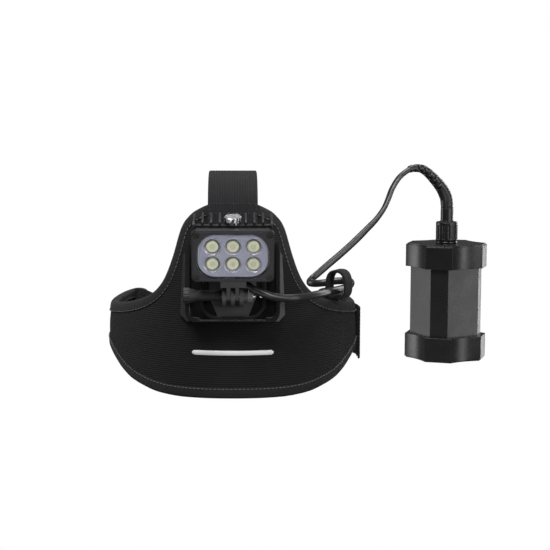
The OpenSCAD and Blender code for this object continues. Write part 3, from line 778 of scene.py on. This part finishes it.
def addStitch(points, faces, stretch):
    if len(stretch) < 2:
        return
    base = len(points)
    thread = sewing["thread"] / 1000
    along = (stretch[-1][0] - stretch[0][0]).normalized()
    for j in range(sewing["rings"]):
        t = j / (sewing["rings"] - 1)
        p = stretch[0][0].lerp(stretch[-1][0], t)
        out = stretch[0][1]
        side = along.cross(out).normalized()
        fat = thread * (0.35 + 0.65 * math.sin(math.pi * t))
        lift = out * thread * (1.6 * math.sin(math.pi * t) - 0.4)
        for k in range(sewing["sides"]):
            a = 2 * math.pi * k / sewing["sides"]
            points.append(p + lift + fat * (side * math.cos(a) + out * math.sin(a)))
    faces += ringFaces(sewing["rings"], sewing["sides"], start=base)


def addSewing(name, routes, thread="thread"):
    points, faces = [], []
    for route in routes:
        stitchRow(points, faces, route)
    piece = makePiece(name, points, faces, finishes[thread])
    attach(piece, "harness")


def outwardAt(arc):
    turn = arc / head["radius"]
    return Vector((math.sin(turn), -math.cos(turn), 0))


def padRoute(loop, inset, depth):
    even = evenLoop(insetLoop(loop, inset), sewing["fine"])
    return [(onHead(p.x, p.y, depth), outwardAt(p.x)) for p in even]


addPad()
rim = addTape()
addSewing("tapeStitching", [padRoute(rim, inset, depth) for inset, depth in tape["seams"]])
print("pad and edge tape sewn")

# Plain reflective bar on the front of the pad

bar = {
    "long": 62,
    "tall": 3.6,
    "height": 35,
    "lift": 0.42,
    "thick": 0.25,
    "steps": 40,
    # up, as a share of half the bar, and out, in thicknesses
    "section": [(-1, 0), (-0.93, 1), (0, 1), (0.93, 1), (1, 0), (1, -2), (-1, -2)],
}


def addBar():
    rings = []
    for i in range(bar["steps"] + 1):
        arc = bar["long"] * (i / bar["steps"] - 0.5)
        rim = min(1, (bar["long"] / 2 - abs(arc)) / (bar["tall"] / 2) + 0.08)
        half = bar["tall"] / 2 * math.sqrt(1 - (1 - rim) ** 2)
        rings.append([
            onHead(arc, bar["height"] + up * half, -bar["lift"] - bar["thick"] * out)
            for up, out in bar["section"]
        ])
    piece = ringMesh("reflectiveBar", rings, finishes["reflective"])
    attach(piece, "harness")


addBar()

# Crown strap: ribbed elastic over the head

crown = {
    "wide": 38,
    "thick": 1.7,
    "ribs": 30,
    "ribDeep": 0.26,
    "steps": 10,
    "seams": (3, 12, 20),
    "seamHalf": 17.5,
    "seamLift": 0.05,
    "route": [
        (-83.2, 127), (-79.4, 136), (-74.4, 145), (-66, 154), (-52, 161), (-34, 164.8), (-12, 166.2),
        (14, 164.8), (40, 157.5), (62, 144), (78, 122.5), (87, 97), (90.5, 68), (91.5, 24),
    ],
}


def strapSection(wide, strap):
    # closed outline: across the outer face and back across the inner one, as (across, out)
    outer, inner = [], []
    count = strap["ribs"] * 4
    for i in range(count + 1):
        s = i / count
        across = (s - 0.5) * wide
        rim = min(1, min(s, 1 - s) * wide + 0.25)
        rib = strap["ribDeep"] * abs(math.sin(math.pi * strap["ribs"] * s))
        outer.append((across, strap["thick"] / 2 * rim - strap["ribDeep"] + rib))
        inner.append((across, -strap["thick"] / 2 * rim + strap["ribDeep"] - rib))
    return outer + inner[::-1]


def addCrown():
    route = smoothRoute([(0, y, z) for y, z in crown["route"]], crown["steps"])
    section = strapSection(crown["wide"], crown)
    rings = []
    for i, p in enumerate(route):
        ahead = (route[min(i + 1, len(route) - 1)] - route[max(i - 1, 0)]).normalized()
        out = Vector((0, -ahead.z, ahead.y))
        rings.append([place(a, p.y + d * out.y, p.z + d * out.z) for a, d in section])
    along = [done / 1000 for done in lengthsAlong(route)]
    piece = ringMesh("crownStrap", rings, finishes["elastic"])
    layAlong(piece, section, along)
    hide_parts("crown_strap")
    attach(piece, "harness")
    return route


def crownPoint(route, want, across, lift):
    # place on the outer face, want millimetres from the front end
    done = 0.0
    for a, b in zip(route, route[1:]):
        step = (b - a).length
        if done + step >= want:
            p = a.lerp(b, (want - done) / step)
            ahead = (b - a).normalized()
            out = Vector((0, -ahead.z, ahead.y))
            return place(across, p.y + lift * out.y, p.z + lift * out.z), out
        done += step
    return place(across, route[-1].y, route[-1].z), Vector((0, 1, 0))


def crownSeams(route):
    # three rows across the strap's front end, and one up each side
    lift = crown["thick"] / 2 + crown["seamLift"]
    half = crown["seamHalf"]
    first, last = crown["seams"][0], crown["seams"][-1]
    rows = [
        [crownPoint(route, at, -half + 2 * half * i / 100, lift) for i in range(101)]
        for at in crown["seams"]
    ]
    return rows + [
        [crownPoint(route, first + (last - first) * i / 50, side, lift) for i in range(51)]
        for side in (-half, half)
    ]


crownRoute = addCrown()
addSewing("crownStitching", crownSeams(crownRoute), "darkThread")

# Back strap, hook tab and lead keeper

backStrap = {
    "from": 84,
    "to": 244,
    "radius": [(84, 103.6), (132, 103.6), (160, 98.5), (200, 96.5), (226, 91.5), (244, 91.5)],
    "low": [(84, 15), (132, 10), (180, 0), (216, 10), (244, 24)],
    "tall": 42,
    "thick": 2,
    "ribs": 14,
    "ribDeep": 0.18,
}
hookTab = {
    "from": 84,
    "to": 124,
    "radius": [(84, 101.4), (124, 101.4)],
    "low": [(84, 17), (124, 13)],
    "tall": 38,
    "thick": 1,
    "ribs": 19,
    "ribDeep": 0.08,
}
bandStep = 1.25  # degrees from one ring to the next


def addBand(name, band, finish, node):
    section = strapSection(band["tall"], band)
    rings, along = [], []
    count = int((band["to"] - band["from"]) / bandStep)
    for i in range(count + 1):
        turn = band["from"] + (band["to"] - band["from"]) * i / count
        r = curveAt(band["radius"], turn) - band["thick"] / 2
        mid = curveAt(band["low"], turn) + band["tall"] / 2
        a = math.radians(turn)
        rings.append([
            place((r + out) * math.sin(a), -(r + out) * math.cos(a), mid + across) for across, out in section
        ])
        along.append(a * head["radius"] / 1000)
    piece = ringMesh(name, rings, finish)
    layAlong(piece, section, along)
    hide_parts(node)
    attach(piece, "harness")


addBand("backStrapWebbing", backStrap, finishes["elastic"], "back_strap")
addBand("hookTabStrip", hookTab, finishes["tapeTwill"], "hook_tab")

keeper = {
    "middle": (82.2, -56, 81.6),
    "turn": 62,
    "wide": 13,
    "tall": 23,
    "deep": 17.6,
    "cloth": 2,
    "corner": 2.7,
    "taper": 0.1,
    "edge": 0.5,
    "edgeSoft": 0.12,
    "points": 96,
}


def keeperLine(inset):
    # round-cornered loop seen along the lead, as (across, up)
    w = keeper["deep"] / 2 - inset
    h = keeper["tall"] / 2 - inset
    power = 2 / keeper["corner"]
    line = []
    for k in range(keeper["points"]):
        a = 2 * math.pi * k / keeper["points"]
        c, s = math.cos(a), math.sin(a)
        line.append((
            math.copysign(abs(c) ** power * w, c) * (1 - keeper["taper"] * s),
            math.copysign(abs(s) ** power * h, s),
        ))
    return line


def addKeeper():
    turn = math.radians(keeper["turn"])
    along = Vector((math.cos(turn), math.sin(turn), 0))
    across = Vector((-math.sin(turn), math.cos(turn), 0))
    middle = place(*keeper["middle"])
    outer, inner = keeperLine(0), keeperLine(keeper["cloth"])
    half = keeper["wide"] / 2
    rim, soft = half - keeper["edge"], keeper["edgeSoft"]
    # share of the way through the cloth, and place along the lead
    section = [
        (soft, -half), (0, -rim), (0, -half / 3), (0, half / 3), (0, rim), (soft, half),
        (1 - soft, half), (1, rim), (1, 0), (1, -rim), (1 - soft, -half),
    ]
    rings = []
    for (a, b), (c, d) in zip(outer, inner):
        ring = []
        for share, side in section:
            u, v = a + (c - a) * share, b + (d - b) * share
            ring.append(middle + along * side / 1000 + across * u / 1000 + Vector((0, 0, v / 1000)))
        rings.append(ring)
    piece = ringMesh("leadKeeperLoop", rings, finishes["elastic"], closed=True)
    layOut(piece, lambda p: ((p - middle).dot(along), p.z))
    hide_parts("lead_keeper")
    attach(piece, "harness")


addKeeper()
print("straps and keeper made")

# Lamp details, in the lamp's own frame: out of the pivot plane is -y, up is z

lamp = {
    "lightX": 14.8,
    "lightZ": 13.2,
    "middle": 35.4,
    "face": 13.05,
    "domeFront": 12.15,
    # radius, and place in front of the domes
    "ring": [(1.75, -0.2), (1.8, 0.1), (1.6, 0.22), (1.35, 0.12), (1.3, -0.2)],
    "dot": [(0.75, -0.2), (0.7, 0.1), (0.45, 0.2), (0.1, 0.22)],
    "sides": 32,
    "lipRadius": 6.0,
    "lipThin": 0.12,
    "lipThick": 0.55,
    "lipFlat": 0.6,
    "lipSides": (48, 8),
}
tilt = next(j for j in frame["joints"] if j["name"] == "lamp_tilt")
pivotY, pivotZ = (tilt["pos_m"][1] - headY) * 1000, tilt["pos_m"][2] * 1000
print("lamp pivot:", round(pivotY, 2), round(pivotZ, 2))


def onLamp(x, y, z):
    a = math.radians(lampLean)
    return place(x, pivotY + y * math.cos(a) - z * math.sin(a), pivotZ + y * math.sin(a) + z * math.cos(a))


def lightSpots():
    return [
        (i * lamp["lightX"], lamp["middle"] + j * lamp["lightZ"])
        for i in (-1, 0, 1) for j in (-0.5, 0.5)
    ]


def turnedShape(points, faces, spot, profile):
    # round shape facing out of the lamp at spot
    base = len(points)
    for radius, out in profile:
        for k in range(lamp["sides"]):
            a = 2 * math.pi * k / lamp["sides"]
            points.append(onLamp(
                spot[0] + radius * math.cos(a), -(lamp["domeFront"] + out), spot[1] + radius * math.sin(a)
            ))
    faces += ringFaces(len(profile), lamp["sides"], start=base)


def lipShapes():
    # polished bead round each cup's mouth, fullest at the bottom
    points, faces = [], []
    around, across = lamp["lipSides"]
    for x, z in lightSpots():
        base = len(points)
        for k in range(around):
            a = 2 * math.pi * k / around
            fat = lamp["lipThin"] + (lamp["lipThick"] - lamp["lipThin"]) * max(0, -math.sin(a)) ** 2
            for m in range(across):
                b = 2 * math.pi * m / across
                r = lamp["lipRadius"] + fat * math.cos(b)
                out = lamp["face"] + fat * lamp["lipFlat"] * math.sin(b)
                points.append(onLamp(x + r * math.cos(a), -out, z + r * math.sin(a)))
        faces += ringFaces(around, across, closed=True, start=base)
    return points, faces


def addLampPiece(name, shape, finish):
    piece = makePiece(name, *shape, finishes[finish])
    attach(piece, "lamp")


def addLights():
    # each light has a raised ring and a small bright middle
    rings, dots = ([], []), ([], [])
    for spot in lightSpots():
        turnedShape(*rings, spot, lamp["ring"])
        turnedShape(*dots, spot, lamp["dot"])
    addLampPiece("lightRings", rings, "phosphor")
    addLampPiece("lightDots", dots, "reflective")
    addLampPiece("cupLips", lipShapes(), "steel")


addLights()
print("lights made")

# Finishes of the CAD nodes

nodeFinishes = {
    "darkPlate": ["base_plate"],
    "trayGloss": ["mount_tray"],
    "knobBlack": ["thumb_knob"],
    "moulded": ["mount_foot", "receiver", "pack_socket", "switch_body", "cell_holders",
                "plug_body", "lock_ring", "pack_shell"],
    "mouldedGrey": ["buckle"],
    "anodised": ["lamp_housing", "front_bezel"],
    "steel": ["tray_rivets", "clamp_nut", "clamp_screw", "foot_screws", "switch_dome"],
    "blackSteel": ["bezel_screws"],
    "rubber": ["top_cap", "bottom_cap", "lead_gland"],
    "sealRubber": ["housing_seal", "lens_gasket", "cap_seals", "socket_seal"],
    "optic": ["optic_plate"],
    "lightResin": ["light_domes"],
    "phosphor": ["light_chips"],
    "boardWhite": ["light_board"],
    "boardGreen": ["driver_board", "protection_board"],
    "cellWrap": ["cells"],
    "nickel": ["cell_links"],
    "gold": ["contact_pins"],
    "clear": ["lens_cover"],
    # the switch cap's stripes are painted reflections
    "button": ["switch_cap"],
}


def paintNodes():
    for finishName, names in nodeFinishes.items():
        for name in names:
            materials = cadNodes[name].data.materials
            for i in range(len(materials)):
                materials[i] = finishes[finishName]
            if not len(materials):
                materials.append(finishes[finishName])


paintNodes()
print("nodes painted")
